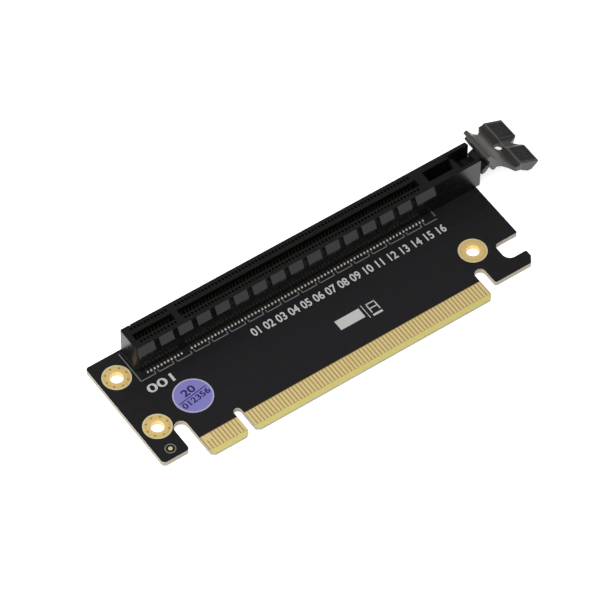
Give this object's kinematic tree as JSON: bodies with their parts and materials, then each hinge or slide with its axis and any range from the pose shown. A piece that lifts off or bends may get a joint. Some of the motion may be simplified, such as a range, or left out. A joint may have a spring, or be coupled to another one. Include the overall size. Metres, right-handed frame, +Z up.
{
  "type": "pcie riser card",
  "caption": "Flat edge card with a long card slot and thumb latch along its back edge, gold contact fingers along the front and plated mounting holes.",
  "frame": {"origin": "on the underside of the board, below the key rib of the slot, on the slot's centreline", "axes": "+X along the slot towards the latch; +Y away from the contact fingers; +Z up out of the slot opening"},
  "size_m": [0.1286, 0.042, 0.0137],
  "materials": {
    "board_laminate": "dark solder mask over glass laminate",
    "gold_plating": "gold plated copper, satin",
    "label_paper": "lavender paper",
    "housing_plastic": "glossy black",
    "contact_metal": "plated spring metal",
    "solder": "dull solder",
    "latch_plastic": "satin dark grey"
  },
  "bodies": {
    "card": {"board": "board_laminate", "fingers_top_power": "gold_plating", "fingers_bottom_power": "gold_plating", "fingers_top_x1": "gold_plating", "fingers_bottom_x1": "gold_plating", "fingers_top_x4": "gold_plating", "fingers_bottom_x4": "gold_plating", "fingers_top_x8": "gold_plating", "fingers_bottom_x8": "gold_plating", "fingers_top_x16": "gold_plating", "fingers_bottom_x16": "gold_plating", "plated_hole_left_back": "gold_plating", "plated_hole_left_front": "gold_plating", "plated_hole_right_front": "gold_plating", "fiducial_pad": "gold_plating", "round_label": "label_paper", "slot_housing": "housing_plastic", "contacts_back_power": "contact_metal", "contacts_front_power": "contact_metal", "contacts_back_x1": "contact_metal", "contacts_front_x1": "contact_metal", "contacts_back_x4": "contact_metal", "contacts_front_x4": "contact_metal", "contacts_back_x8": "contact_metal", "contacts_front_x8": "contact_metal", "contacts_back_x16": "contact_metal", "contacts_front_x16": "contact_metal", "solder_back": "solder", "solder_front": "solder"},
    "latch": {"retention_latch": "latch_plastic"}
  },
  "joints": [
    {"name": "latch_hinge", "type": "hinge", "parent": "card", "child": "latch", "pos_m": [0.0852, 0, 0.0084], "axis": [0, -1, 0], "range_deg": [0, 40]}
  ]
}
